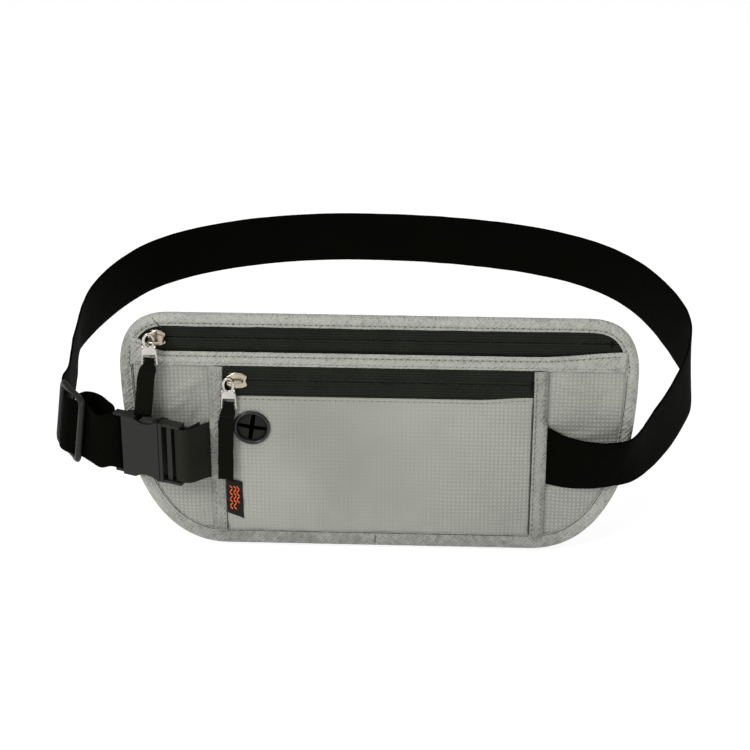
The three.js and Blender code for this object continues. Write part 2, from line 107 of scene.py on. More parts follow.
# ---------- mesh helpers ----------
def build(name, points, faces, material, body, uvs=None):
    """A mesh piece from points in mm. uvs has one (u, v) for each point. Closed skins face outwards."""
    mesh = bpy.data.meshes.new(name)
    mesh.from_pydata([tuple(float(c) * MM for c in p) for p in points], [], faces)
    mesh.validate()
    solid = bmesh.new()
    solid.from_mesh(mesh)
    if all(edge.is_manifold for edge in solid.edges):
        bmesh.ops.recalc_face_normals(solid, faces=solid.faces)
        solid.to_mesh(mesh)
    solid.free()
    if uvs is not None:
        layer = mesh.uv_layers.new(name="along")
        corner = np.array([uvs[loop.vertex_index] for loop in mesh.loops], dtype=np.float32)
        layer.data.foreach_set("uv", corner.ravel())
    mesh.polygons.foreach_set("use_smooth", [True] * len(mesh.polygons))
    mesh.materials.append(material)
    piece = add_object(name, mesh)
    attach(piece, body)
    return piece


def grid_faces(rows, columns, wrap=False):
    """Quads of a grid of points stored row by row. wrap joins the last column to the first."""
    faces = []
    for r in range(rows - 1):
        for c in range(columns if wrap else columns - 1):
            n = (c + 1) % columns
            faces.append((r * columns + c, r * columns + n, (r + 1) * columns + n, (r + 1) * columns + c))
    return faces


def skin(rings, closed=False):
    """Points and faces over rings of points. closed joins the last ring to the first."""
    count, sides = len(rings), len(rings[0])
    faces = grid_faces(count, sides, wrap=True)
    last = (count - 1) * sides
    if closed:
        faces += [(last + c, last + (c + 1) % sides, (c + 1) % sides, c) for c in range(sides)]
    else:
        faces += [tuple(reversed(range(sides))), tuple(range(last, last + sides))]
    return [p for ring in rings for p in ring], faces


def tube(name, rings, material, body, uvs=None, closed=False):
    """A piece that is a skin over rings of points."""
    return build(name, *skin(rings, closed), material, body, uvs)


def merge(parts):
    """Joins (points, faces) pairs into one pair."""
    points, faces = [], []
    for part_points, part_faces in parts:
        base = len(points)
        points += list(part_points)
        faces += [tuple(i + base for i in f) for f in part_faces]
    return points, faces


def closed_slab(first, second, rows, columns):
    """Points and faces of a slab: two grids of points, face to face, closed round the rim."""
    count = rows * columns
    faces = grid_faces(rows, columns)
    rim = list(range(columns)) + [r * columns + columns - 1 for r in range(1, rows)]
    rim += [(rows - 1) * columns + c for c in range(columns - 2, -1, -1)]
    rim += [r * columns for r in range(rows - 2, 0, -1)]
    shell = faces + [tuple(reversed([i + count for i in f])) for f in faces]
    shell += [(b, a, a + count, b + count) for a, b in zip(rim, rim[1:] + rim[:1])]
    return first + second, shell


def ramp(t):
    return min(1.0, max(0.0, t))


def smoothstep(t):
    t = ramp(t)
    return t * t * (3 - 2 * t)


def wave(x, z, size, seed):
    """Smooth noise from -1 to 1, for features of that size in mm."""
    return noise.noise(Vector((x / size + seed * 7.3, z / size - seed * 3.1, seed * 1.7)))


def angles(count):
    return [2 * math.pi * k / count for k in range(count)]


def spot(x, depth, z):
    """A point that stands in front of BACK_Y by depth."""
    return np.array((x, BACK_Y - depth, z), float)


def run_along(points):
    """The length of a line of points from its start to each point."""
    return np.concatenate([[0], np.cumsum(np.linalg.norm(np.diff(points, axis=0), axis=1))])


def heading(path, i, closed=False):
    """The unit direction of a path at its point i."""
    count = len(path)
    before = path[(i - 1) % count] if closed else path[max(0, i - 1)]
    after = path[(i + 1) % count] if closed else path[min(count - 1, i + 1)]
    along = np.subtract(after, before)
    return along / np.linalg.norm(along)


# ---------- the bag's outline ----------
def bezier(points, count):
    points = [np.array(p, float) for p in points]
    out = []
    for k in range(count):
        level, t = points, k / count
        while len(level) > 1:
            level = [a * (1 - t) + b * t for a, b in zip(level, level[1:])]
        out.append(level[0])
    return out


def outline(count=24):
    side = bezier([(BOTTOM_FLAT, BOTTOM), (102, BOTTOM), (115, -37), (HALF_LOW, WAIST_BOTTOM)], count)
    side += bezier([(HALF_LOW, WAIST_BOTTOM), (HALF, 10), (HALF, WAIST_TOP)], count)
    side += bezier([(HALF, WAIST_TOP), (HALF, 66), (119, TOP), (TOP_FLAT, TOP)], count)
    side.append(np.array((TOP_FLAT, TOP), float))
    return side + [np.array((-p[0], p[1])) for p in reversed(side)]


def even_loop(points, step):
    """The closed loop again, with points an even step apart, and the inward normal at each."""
    loop = np.array(list(points) + [points[0]])
    run = run_along(loop)
    at = np.linspace(0, run[-1], int(run[-1] / step), endpoint=False)
    even = np.stack([np.interp(at, run, loop[:, 0]), np.interp(at, run, loop[:, 1])], 1)
    along = np.roll(even, -1, 0) - np.roll(even, 1, 0)
    along /= np.linalg.norm(along, axis=1)[:, None]
    return even, np.stack([-along[:, 1], along[:, 0]], 1), at


OUTLINE, INWARD, RUN = even_loop(outline(), 1.5)


def half_width(z, inset=0.0):
    """Half the bag's width at that height, inside the outline by inset."""
    moved = OUTLINE + INWARD * inset
    right = moved[moved[:, 0] > 0]
    order = np.argsort(right[:, 1])
    return float(np.interp(z, right[order, 1], right[order, 0]))


# ---------- materials ----------
class Signal:
    """A value in a material. Arithmetic on it adds math nodes."""

    def __init__(self, paint, socket):
        self.paint, self.socket = paint, socket

    def __add__(self, other):
        return self.paint.math("ADD", self, other)

    def __sub__(self, other):
        return self.paint.math("SUBTRACT", self, other)

    def __rsub__(self, other):
        return self.paint.math("SUBTRACT", other, self)

    def __mul__(self, other):
        return self.paint.math("MULTIPLY", self, other)

    def at_least(self, other):
        return self.paint.math("MAXIMUM", self, other)

    def at_most(self, other):
        return self.paint.math("MINIMUM", self, other)


class Paint:
    """A Principled material and short ways to add nodes to it."""

    def __init__(self, name, colour, roughness, metallic=0.0, specular=0.5, sheen=0.0):
        self.material = bpy.data.materials.new(name)
        self.material.use_nodes = True
        self.material.diffuse_color = (*colour, 1)
        self.tree = self.material.node_tree
        self.colour = colour
        self.shader = dial(self.tree.nodes["Principled BSDF"], {
            "Base Color": (*colour, 1), "Roughness": roughness, "Metallic": metallic,
            "Specular IOR Level": specular, "Sheen Weight": sheen, "Sheen Roughness": 0.5})

    def node(self, kind, **settings):
        return assign(self.tree.nodes.new(kind), **settings)

    def link(self, source, target):
        """Feeds a number, a signal or a socket into an input."""
        if isinstance(source, (int, float)):
            target.default_value = source
        else:
            self.tree.links.new(source.socket if isinstance(source, Signal) else source, target)

    def math(self, operation, *values):
        added = self.node("ShaderNodeMath", operation=operation)
        for socket, value in zip(added.inputs, values):
            self.link(value, socket)
        return Signal(self, added.outputs[0])

    def split(self, vector):
        added = self.node("ShaderNodeSeparateXYZ")
        self.link(vector, added.inputs[0])
        return [Signal(self, socket) for socket in added.outputs]

    def place(self):
        """X and Z of the surface point in the row's frame at rest, in metres."""
        x, _, z = self.split(self.node("ShaderNodeTexCoord").outputs["Object"])
        return x, z

    def along(self):
        """The piece's own u and v, in millimetres."""
        return self.split(self.node("ShaderNodeUVMap", uv_map="along").outputs[0])[:2]

    def noise(self, scale, detail=2.0):
        added = dial(self.node("ShaderNodeTexNoise"), {"Scale": scale, "Detail": detail})
        self.link(self.node("ShaderNodeTexCoord").outputs["Object"], added.inputs["Vector"])
        return Signal(self, added.outputs["Fac"])

    def waves(self, value, pitch):
        """A sine from 0 to 1 with that pitch."""
        return self.math("SINE", value * (2 * math.pi / pitch)) * 0.5 + 0.5

    def ranged(self, factor, low, high):
        """A socket that goes from low to high as factor goes from 0 to 1."""
        scale = dial(self.node("ShaderNodeMapRange"), {"To Min": low, "To Max": high})
        self.link(factor, scale.inputs["Value"])
        return scale.outputs[0]

    def shade(self, factor, low, high):
        """The base colour times a value from low to high."""
        mix = self.node("ShaderNodeVectorMath", operation="SCALE")
        mix.inputs[0].default_value = self.colour
        self.link(self.ranged(factor, low, high), mix.inputs["Scale"])
        self.link(mix.outputs[0], self.shader.inputs["Base Color"])

    def rough(self, factor, low, high):
        self.link(self.ranged(factor, low, high), self.shader.inputs["Roughness"])

    def bump(self, height, distance, strength=1.0):
        added = dial(self.node("ShaderNodeBump"), {"Distance": distance, "Strength": strength})
        self.link(height, added.inputs["Height"])
        self.link(added.outputs[0], self.shader.inputs["Normal"])


def dobby_material():
    """Light ripstop cloth with a small raised dot at each crossing of its square grid."""
    paint = Paint("shell_cloth", (0.325, 0.332, 0.292), 0.62, specular=0.35, sheen=0.1)
    x, z = paint.place()
    pitch = 0.00212
    cell = paint.math("POWER", paint.waves(x, pitch) * paint.waves(z, pitch), 1.25)
    threads = paint.waves(x, pitch * 0.62) * 0.16 + paint.waves(z, pitch * 0.5) * 0.06
    blotch = paint.noise(34, 3)
    # The dots show most towards the sides of the bag.
    side = (x * 10.5).at_least(x * -7.5)
    strength = (side - 0.42 + blotch * 0.8).at_least(0.1).at_most(1.0)
    raised = cell * strength
    tone = raised * 1.15 + threads * (1.0 - strength) + strength * -0.15
    tone += paint.noise(1500) * 0.2 + blotch * 0.3 + (paint.noise(11, 4) - 0.5) * 1.5
    paint.shade(tone, 0.8, 1.26)
    paint.bump(raised + threads * 0.6, 0.00032, 0.85)
    paint.rough(raised, 0.66, 0.46)
    return paint.material


def trim_material(name, colour):
    """Folded binding cut on the bias: a fine diagonal rib, with painted shade that darkens it at the left and
    at the foot.
    """
    paint = Paint(name, colour, 0.6, specular=0.35, sheen=0.1)
    x, z = paint.place()
    rib, cross = paint.waves(x + z, 0.0019), paint.waves(x - z, 0.0026)
    crease, blotch = paint.noise(330, 3), paint.noise(90, 3)
    # Painted shade: the colour is made darker towards the left end and towards the foot, where less light
    # falls.
    left = (-0.1185 - x).at_least(0.0) * -45.0
    foot = (-0.036 - z).at_least(0.0) * -28.0
    tone = rib * 0.13 + cross * 0.07 + blotch * 0.7 + crease * 0.85 + paint.noise(1300) * 0.2
    paint.shade(tone + (left + foot).at_least(-0.85), 0.22, 1.21)
    paint.bump(crease * 5.0 + (rib + cross) * 0.45, 0.0004, 0.95)
    paint.rough(blotch, 0.52, 0.7)
    return paint.material


def webbing_material(name, colour, u_pitch, v_pitch, contrast=0.5):
    """Woven webbing: ribs across its length and warp ends along it."""
    paint = Paint(name, colour, 0.85, specular=0.015)
    u, v = paint.along()
    weave = paint.waves(u, u_pitch) * 0.6 + paint.waves(v, v_pitch) * 0.5
    weave += paint.waves(u + v * 0.5, u_pitch * 1.7) * 0.2
    paint.shade(weave * contrast + paint.noise(60, 3) * 0.5, 0.7, 1.5)
    paint.bump(weave, 0.00022, 0.8)
    paint.rough(weave, 0.92, 0.75)
    return paint.material


def zip_cloth_material():
    """Black zip tape: ribs along the zip, and a fine hatch across it."""
    paint = Paint("zip_cloth", (0.0108, 0.012, 0.0088), 0.7, specular=0.06)
    x, z = paint.place()
    ribs, hatch = paint.waves(z, 0.00155), paint.waves(x, 0.0011)
    paint.shade(ribs * 0.3 + hatch * 0.16 + paint.noise(70, 3) * 0.4 + paint.noise(1100) * 0.3, 0.05, 2.15)
    paint.bump(hatch * 0.8 + ribs * 0.4, 0.0002, 0.8)
    return paint.material


def plastic_material(name, colour, roughness, specular=0.3):
    """Moulded plastic with a fine spark-eroded grain and slightly rubbed high spots."""
    paint = Paint(name, colour, roughness, specular=specular)
    grain, patch = paint.noise(2600, 3), paint.noise(45, 3)
    paint.shade(grain * 0.3 + patch * 0.7, 0.85, 1.15)
    paint.bump(grain, 0.00006, 0.5)
    paint.rough(patch, roughness - 0.07, roughness + 0.09)
    return paint.material


def metal_material(name, colour):
    """Plated zinc, a little warm, with fine handling marks."""
    paint = Paint(name, colour, 0.2, metallic=1.0)
    marks, patch = paint.noise(900, 4), paint.noise(160, 3)
    paint.shade(patch, 0.6, 1.3)
    paint.rough(marks * 0.5 + patch * 0.5, 0.12, 0.34)
    paint.bump(marks, 0.00004, 0.5)
    return paint.material


def thread_material(name, colour):
    paint = Paint(name, colour, 0.6, specular=0.2)
    twist = paint.noise(2200)
    paint.shade(twist, 0.75, 1.25)
    paint.bump(twist, 0.00008, 0.6)
    return paint.material


def foil_material():
    paint = Paint("shield_foil", (0.5, 0.51, 0.52), 0.35, metallic=0.8)
    crinkle = paint.noise(140, 5)
    paint.shade(crinkle, 0.85, 1.1)
    paint.bump(crinkle, 0.0004, 0.6)
    paint.rough(crinkle, 0.25, 0.5)
    return paint.material


SHELL = dobby_material()
# The binding and the tapes both carry the painted shade of trim_material.
TRIM = trim_material("trim_cloth", (0.33, 0.335, 0.297))
TAPE = trim_material("tape_cloth", (0.255, 0.26, 0.23))
WEBBING = webbing_material("belt_webbing", (0.0016, 0.0018, 0.001), 1.3, 2.0)
SHORT_WEBBING = webbing_material("short_webbing", (0.0205, 0.021, 0.0165), 1.3, 1.2, 0.22)
TAB_WEBBING = webbing_material("tab_webbing", (0.0042, 0.0046, 0.0031), 1.2, 1.2, 1.0)
ZIP_CLOTH = zip_cloth_material()
PLASTIC = plastic_material("buckle_plastic", (0.0108, 0.012, 0.0085), 0.4, 0.24)
# The prongs are the buckle's plastic, made glossier and lighter in colour; the lighter colour is a painted
# highlight on their edges.
PRONG_HIGHLIGHT_PLASTIC = plastic_material("prong_plastic_painted_highlight", (0.03, 0.0315, 0.027), 0.32, 0.6)
COIL = plastic_material("coil_nylon", (0.004, 0.004, 0.0035), 0.5, 0.02)
RUBBER = plastic_material("port_rubber", (0.0042, 0.0044, 0.0037), 0.3, 0.5)
FLAPS = plastic_material("port_flaps", (0.0125, 0.013, 0.011), 0.5, 0.12)
METAL = metal_material("zip_metal", (0.56, 0.53, 0.49))
WARM_METAL = metal_material("slider_metal", (0.48, 0.42, 0.33))
THREAD = thread_material("grey_thread", (0.3, 0.305, 0.275))
# Painted shade at the needle holes.
NEEDLE_HOLE_SHADE = thread_material("needle_holes", (0.07, 0.07, 0.06))
# A near-black for the painted shade inside the cable port's slit.
PORT_SHADE_BLACK = plastic_material("port_painted_shade", (0.0008, 0.0008, 0.0007), 0.8, 0.0)
BLACK_THREAD = thread_material("black_thread", (0.008, 0.008, 0.007))
# Dark thread for the low stitches and joins, also used for the painted shadow lines in sunken seams.
DARK_THREAD_AND_SHADOW = thread_material("dark_thread_and_painted_shadow", (0.045, 0.046, 0.04))
ORANGE = thread_material("orange_thread", (0.8, 0.13, 0.03))
LABEL = thread_material("label_cloth", (0.0045, 0.0038, 0.003))
FOIL = foil_material()


# ---------- stitching ----------
def capsule(centre, along, length, radius):
    """Points and faces of one low stitch: a rounded bar lying on the cloth."""
    side = np.cross(along, FRONT)
    return skin([[centre + along * (t * length) + (side * math.cos(a) + FRONT * math.sin(a)) * r * radius
                  for a in angles(6)]
                 for t, r in [(-0.5, 0.25), (-0.34, 0.9), (0.0, 1.0), (0.34, 0.9), (0.5, 0.25)]])


def stitch_line(name, path, pitch=3.0, radius=0.22, material=None):
    """A row of stitches, with a dark mark of painted shade at each needle hole, along a path of (x, depth,
    z).
    """
    points = np.array([spot(*p) for p in path])
    run = run_along(points)
    count = max(1, int(run[-1] / pitch))
    threads, holes = [], []

    def at(k):
        return np.array([np.interp(k * run[-1] / count, run, points[:, i]) for i in range(3)])

    for k in range(count):
        a, b = at(k + 0.14), at(k + 0.86)
        length = np.linalg.norm(b - a)
        along = (b - a) / length
        threads.append(capsule((a + b) / 2 + FRONT * 0.05, along, length, radius))
        # Painted shade: a small dark mark where the needle went through.
        holes.append(capsule(at(k) + FRONT * 0.02, along, 0.8, radius * 1.25))
    build(name, *merge(threads), material or THREAD, "bag")
    build(name + "_holes", *merge(holes), NEEDLE_HOLE_SHADE, "bag")


# ---------- cloth panels ----------
# Soft folds in the wings: x, z, direction, reach and height.
CREASES = [
    (-94, 36, 0.5, 9, 0.9), (-99, 27, 0.7, 7, 0.6), (-91, 20, 1.2, 8, -0.5), (-104, -28, -0.5, 8, 0.6),
    (98, 38, -0.3, 10, 0.6), (112, 30, 1.1, 9, -0.5), (101, -28, 0.4, 8, 0.6), (104, 12, 0.2, 9, 0.6),
]


def front_bulge(x, z):
    """How far the main front panel's face stands in front of its flat place."""
    edge = ramp((half_width(z, 8) - abs(x)) / 14)
    inner = ramp((abs(x) - 85) / 10)
    wing = math.sin(edge * math.pi / 2) * math.sin(inner * math.pi / 2)
    soft = 1.5 * wave(x, z, 34, 1) + 0.8 * wave(x + z * 0.6, z - x * 0.4, 15, 2)
    crease = 0.0
    for cx, cz, turn, reach, tall in CREASES:
        along = (x - cx) * math.cos(turn) + (z - cz) * math.sin(turn)
        across = -(x - cx) * math.sin(turn) + (z - cz) * math.cos(turn)
        crease += 1.5 * tall * math.exp(-(along / reach) ** 2 - (across / 2.6) ** 2)
    level = 0.5 * smoothstep((half_width(z, 6.2) - abs(x)) / 2.5) * smoothstep(inner)
    return level + wing * (0.6 + soft + crease)


def pocket_bulge(x, z):
    """The same for the front pocket, which hangs a little fuller near its foot."""
    edge_x = min(1.0, (77.7 - abs(x)) / 16)
    edge_z = ramp((z + 46.6) / 14) * ramp((31.2 - z) / 12)
    spread = math.sin(edge_x * math.pi / 2) * math.sin(edge_z * math.pi / 2)
    near_port = math.hypot(x - PORT_X, z - PORT_Z)
    calm = smoothstep((near_port - 10) / 14)
    soft = 0.75 * wave(x, z, 38, 5) + 0.4 * wave(x * 0.7 + z, z * 0.8 - x * 0.3, 17, 6)
    fuller = 0.42 + 1.3 * smoothstep((-13 - z) / 16)
    pucker = 0.5 * wave(x, z * 0.35, 8, 7) * smoothstep((-26 - z) / 10)
    foot = -1.3 * smoothstep((-40 - z) / 6)
    return spread * fuller * (0.75 + soft * calm) + pucker * math.sin(edge_x * math.pi / 2) + foot


def pocket_rise(x, z):
    """The pocket's mouth curves up towards its right end."""
    return 1.7 * smoothstep((x - 48) / 28) * smoothstep((z - 22) / 9)


def cloth_panel(name, rows, columns, outline_at, face_depth, material, uneven, hole=None,
                rise=lambda x, z: 0.0):
    """A sheet of cloth in the plane of the bag: outline_at(v) gives z and the two x ends."""
    points = []
    for r in range(rows):
        z, x0, x1 = outline_at(r / (rows - 1))
        for c in range(columns):
            x = x0 + (x1 - x0) * c / (columns - 1)
            points.append(spot(x, face_depth + uneven(x, z), z + rise(x, z)))
    faces = grid_faces(rows, columns)
    if hole:
        hx, hz, radius = hole
        middles = [sum(points[i] for i in f) / 4 for f in faces]
        faces = [f for f, m in zip(faces, middles) if math.hypot(m[0] - hx, m[2] - hz) > radius]
        for p in points:
            d = math.hypot(p[0] - hx, p[2] - hz)
            if radius - 1.4 < d < radius + 0.6:
                p[0] = hx + (p[0] - hx) * radius / d
                p[2] = hz + (p[2] - hz) * radius / d
    used = sorted({i for f in faces for i in f})
    index = {old: new for new, old in enumerate(used)}
    faces = [tuple(index[i] for i in f) for f in faces]
    return build(name, [points[i] for i in used], faces, material, "bag")


def settle(piece, pressure, cap, pinned):
    """Lets the cloth fill out under a light pressure with its seams pinned, then keeps the result.

    cap(p) is the furthest that a point of the cloth may move, in millimetres.
    """
    group = piece.vertex_groups.new(name="seam")
    start = np.array([v.co[:] for v in piece.data.vertices])
    group.add([i for i, p in enumerate(start) if pinned(p / MM)], 1.0, "REPLACE")
    cloth = modifier(piece, "CLOTH")
    assign(cloth.settings, vertex_group_mass="seam", quality=6, mass=0.2, tension_stiffness=30,
           compression_stiffness=30, shear_stiffness=12, bending_stiffness=0.25, shrink_min=-0.004,
           use_pressure=True, uniform_pressure_force=pressure)
    cloth.settings.effector_weights.gravity = 0.0
    assign(cloth.point_cache, frame_start=1, frame_end=CLOTH_FRAMES)
    scene = bpy.context.scene
    for number in range(1, CLOTH_FRAMES + 1):
        scene.frame_set(number)
    graph = bpy.context.evaluated_depsgraph_get()
    moved = np.array([v.co[:] for v in piece.evaluated_get(graph).data.vertices])
    piece.modifiers.remove(cloth)
    scene.frame_set(1)
    shift = moved - start
    size = np.linalg.norm(shift, axis=1)
    caps = np.array([cap(p / MM) * MM for p in start])
    shift *= (np.tanh(size / caps) * caps / np.maximum(size, 1e-9))[:, None]
    piece.data.vertices.foreach_set("co", (start + shift).astype(np.float32).ravel())
    piece.data.update()


def bag_cut(low, high, inset):
    """The cut of a panel that fills the bag from low to high, inside its outline by inset."""
    def outline_at(v):
        z = low + v * (high - low)
        half = half_width(z, inset)
        return z, -half, half
    return outline_at


FRONT_CUT = bag_cut(BOTTOM + 3.2, 52.4, 2.2)
BACK_CUT = bag_cut(BOTTOM + 2.4, TOP - 2.4, 2.2)
LINING_CUT = bag_cut(BOTTOM + 10, TOP - 10, 10)


def pocket_cut(v):
    return POCKET_FOOT + v * POCKET_HEIGHT, -POCKET_HALF, POCKET_HALF


front_panel = cloth_panel("front_panel_cloth", 70, 160, FRONT_CUT, 4.4, SHELL, front_bulge)
settle(front_panel, -0.35, lambda p: 1.2,
       lambda p: abs(p[0]) < WING_X or abs(p[0]) > half_width(p[2], 8) or p[2] < -46 or p[2] > 46)
modifier(front_panel, "SOLIDIFY", thickness=0.0009, offset=-1)
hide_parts("main_front_panel")

pocket_panel = cloth_panel("pocket_cloth", 52, 104, pocket_cut, 6.5, SHELL, pocket_bulge,
                           hole=(PORT_X, PORT_Z, PORT_HOLE), rise=pocket_rise)
settle(pocket_panel, -0.3, lambda p: 0.12 + 0.9 * smoothstep((-14 - p[2]) / 14),
       lambda p: (abs(p[0]) > 75 or p[2] < -44 or p[2] > 29
                  or math.hypot(p[0] - PORT_X, p[2] - PORT_Z) < 12))
modifier(pocket_panel, "SOLIDIFY", thickness=0.0008, offset=-1)
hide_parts("pocket_panel")

back_cloth = cloth_panel(
    "back_panel_cloth", 60, 120, BACK_CUT, 0.0, SHELL,
    lambda x, z: 0.25 * wave(x, z, 40, 8) * ramp((half_width(z, 8) - abs(x)) / 10))
modifier(back_cloth, "SOLIDIFY", thickness=0.001, offset=1)
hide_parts("back_panel")

lining_cloth = cloth_panel(
    "shield_lining_cloth", 24, 48, LINING_CUT, 1.7, FOIL, lambda x, z: 0.25 * wave(x, z, 22, 9))
modifier(lining_cloth, "SOLIDIFY", thickness=0.0002, offset=-1)
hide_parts("shield_lining")


def cloth_size(outline_at, hole):
    """Width, height and area of a panel's flat cut, in metres."""
    heights, lefts, rights = np.array([outline_at(v) for v in np.linspace(0, 1, 61)]).T
    widths = rights - lefts
    area = float(np.sum((widths[1:] + widths[:-1]) / 2 * np.diff(heights))) - math.pi * hole**2
    return float(max(widths)) * MM, float(heights[-1] - heights[0]) * MM, area * MM**2


for panel, cut, hole in ((front_panel, FRONT_CUT, 0.0), (pocket_panel, pocket_cut, PORT_HOLE),
                         (back_cloth, BACK_CUT, 0.0), (lining_cloth, LINING_CUT, 0.0)):
    wide, tall, area = cloth_size(cut, hole)

stitch_line("pocket_mouth_stitches",
            [(x, 6.6, 29.2 + pocket_rise(x, 31)) for x in np.linspace(-76, 76, 120)], radius=0.14)


# ---------- edge binding ----------
def shadow_seam(name, path, radius, seed):
    """A painted shadow in the sunken seam along a folded edge: a thin dark line that wanders a little."""
    flat = [(x, z) for x, _, z in path]
    rings = []
    for i, (x, depth, z) in enumerate(path):
        along = heading(flat, i)
        off = 0.16 * wave(x, z, 9, seed)
        thick = radius * (1 + 0.5 * wave(x, z, 5, seed + 1))
        ring = []
        for t in angles(6):
            across = off + thick * math.cos(t)
            ring.append(spot(x - along[1] * across, depth + thick * math.sin(t) * 0.8, z + along[0] * across))
        rings.append(ring)
    tube(name, rings, DARK_THREAD_AND_SHADOW, "bag")


def binding():
    """The tape folded over the bag's edge, sewn just inside its inner edge."""
    rings, seam = [], []
    for (x, z), (nx, nz), run in zip(OUTLINE, INWARD, RUN):
        width = BINDING_WIDTH + BINDING_RAISE * nz + 1.1 * max(0.0, -nz)
        pucker = 0.14 * math.sin(2 * math.pi * run / 6.2) + 0.2 * wave(run, 0, 9, 11)
        edge = width + 0.25 * wave(run, 4, 14, 12)
        rim = -0.06 * wave(run, 8, 5, 13)
        profile = [
            (edge, 4.75), (edge + 0.1, 5.05), (edge - 0.3, 5.3), (width - 1.1, 5.32 + pucker * 0.5),
            (width - 1.5, 5.12), (width - 1.9, 5.34 + pucker * 0.5), (width * 0.55, 5.65 + pucker),
            (2.2, 5.5 + pucker * 0.6), (0.9, 4.9), (0.15 + rim, 3.9), (rim, 2.2), (0.15 + rim, 0.6),
            (0.9, -0.4), (2.2, -0.75), (width - 1.9, -0.8), (width - 1.5, -0.68), (width - 1.1, -0.8),
            (edge, -0.8), (edge, -0.35), (2.4, -0.3), (1.3, 0.3), (1.2, 2.2), (1.3, 4.1), (2.4, 4.7),
        ]
        rings.append([spot(x + nx * s, d, z + nz * s) for s, d in profile])
        sewn = width - (1.5 if z > STITCH_CHANGE_Z else 0.55)
        seam.append((x + nx * sewn, 5.25, z + nz * sewn))
    piece = tube("edge_binding_cloth", rings, TRIM, "bag", closed=True)
    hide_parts("edge_binding")
    start = next(i for i, p in enumerate(seam)
                 if p[2] > STITCH_CHANGE_Z >= seam[(i + 1) % len(seam)][2])
    loop = seam[start:] + seam[:start + 1]
    cut = next(i for i in range(1, len(loop)) if loop[i][2] > STITCH_CHANGE_Z)
    stitch_line("binding_stitches_low", loop[:cut], pitch=2.9, radius=0.2, material=DARK_THREAD_AND_SHADOW)
    # Painted shadow in the seam at the binding's inner edge.
    shadow_seam("binding_seam_shadow_line", loop[:cut], 0.17, 17)
    stitch_line("binding_stitches_top", loop[cut:], pitch=2.9)
    joins = []
    for near_x, near_z, length, slope in ((-1, -60, 7.8, 0.0), (-113, 78, 7.6, 0.45)):
        number = int(np.argmin(np.hypot(OUTLINE[:, 0] - near_x, OUTLINE[:, 1] - near_z)))
        x, z = OUTLINE[number]
        nx, nz = INWARD[number]
        along = np.array((nx + slope * -nz, 0.0, nz + slope * nx))
        along /= np.linalg.norm(along)
        for k in range(5):
            centre = spot(x, 5.1 if k in (0, 4) else 5.62, z) + along * (1.0 + length * (k + 0.5) / 5.6)
            joins.append(capsule(centre, along, length / 4.4, 0.22))
    build("binding_seams", *merge(joins), DARK_THREAD_AND_SHADOW, "bag")


binding()


# ---------- band between the zips, and the two vertical tapes ----------
def band_top(x):
    """The band's upper edge curves up to the binding at both ends."""
    return 54.4 + 7.1 * smoothstep((-107 - x) / 15) + 3.4 * smoothstep((x - 78) / 48)


def band():
    """The folded strip between the zips, sewn along both edges."""
    half = half_width(51, 5.8)
    rings = []
    for x in np.linspace(-half, half, int(half / 0.75) + 1):
        top = band_top(x)
        ripple = 0.15 * wave(x, 0, 8, 21)
        soft = 0.2 * wave(x, 3, 20, 22)
        thick = 1.1 * smoothstep((130 - abs(x)) / 20) + 0.5
        face = 4.75 + thick
        rings.append([spot(x, d, z) for d, z in [
            (4.75, 47.5), (4.75 + thick * 0.8, 47.1 + ripple * 0.5), (face, 47.5 + ripple * 0.5),
            (face + 0.15, 48.3), (face - 0.05, 48.7), (face + 0.2 + soft, 49.4),
            (face + 0.25 + soft, (top + 48) / 2), (5.95 + soft, top - 2.7), (5.72, top - 2.2),
            (5.85, top - 1.7), (5.7, top - 0.5 + ripple), (5.4, top + 0.05 + ripple),
            (4.9, top + ripple * 0.5), (4.7, top - 1),
        ]])
    piece = tube("zip_band_cloth", rings, TRIM, "bag")
    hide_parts("zip_band")
    xs = np.linspace(3 - half, half - 3, 180)
    stitch_line("band_stitches_upper", [(x, 5.82, band_top(x) - 2.2) for x in xs], pitch=3.1, radius=0.24)
    stitch_line("band_stitches_lower", [(x, 6.25, 48.7) for x in xs], pitch=3.1, radius=0.18)


band()


def over_strap(z):
    """1 where a vertical tape passes over the strap's end, and 0 away from it."""
    return smoothstep((18 - abs(z)) / 3)


def vertical_tape(name, node, side):
    """The folded tape that covers a side of the pocket and the end of a strap."""
    rings = []
    for z in np.linspace(POCKET_FOOT, TAPE_TOP, 71):
        wobble = 0.18 * wave(z, side, 12, 31 + side)
        ripple = 0.16 * wave(z, side, 6, 33 + side)
        lift, down = 0.25 * over_strap(z), 1 - over_strap(z)
        loop = [
            (77.9 + wobble, 6.4), (77.85 + wobble, 6.95 + ripple), (78.3 + wobble, 7.2 + ripple),
            (79.6, 7.2 + ripple), (80.6, 7.1 + lift), (81.2, 7.4 + lift + ripple),
            (83.2, 7.4 + lift - 0.7 * down), (84.5 + wobble, 7.25 + lift - 1.5 * down),
            (85.1 + wobble, 6.9 + lift - 1.8 * down), (85.1 + wobble, 6.35 - 1.6 * down),
            (83, 6.4 - 0.9 * down), (80, 6.4),
        ]
        rings.append([spot(side * x, d, z) for x, d in loop])
    piece = tube(name, rings, TAPE, "bag")
    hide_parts(node)
    zs = np.linspace(-45, 46, 60)
    sunk = 7.15 if side < 0 else 7.3
    stitch_line(name + "_inner_stitches", [(side * 79.0, sunk, z) for z in zs], pitch=2.9, radius=0.17)
    stitch_line(name + "_outer_stitches",
                [(side * 83.2, 7.42 - 0.72 * (1 - over_strap(z)), z) for z in zs], pitch=2.9, radius=0.15)


vertical_tape("left_tape_cloth", "left_tape", -1)
vertical_tape("right_tape_cloth", "right_tape", 1)
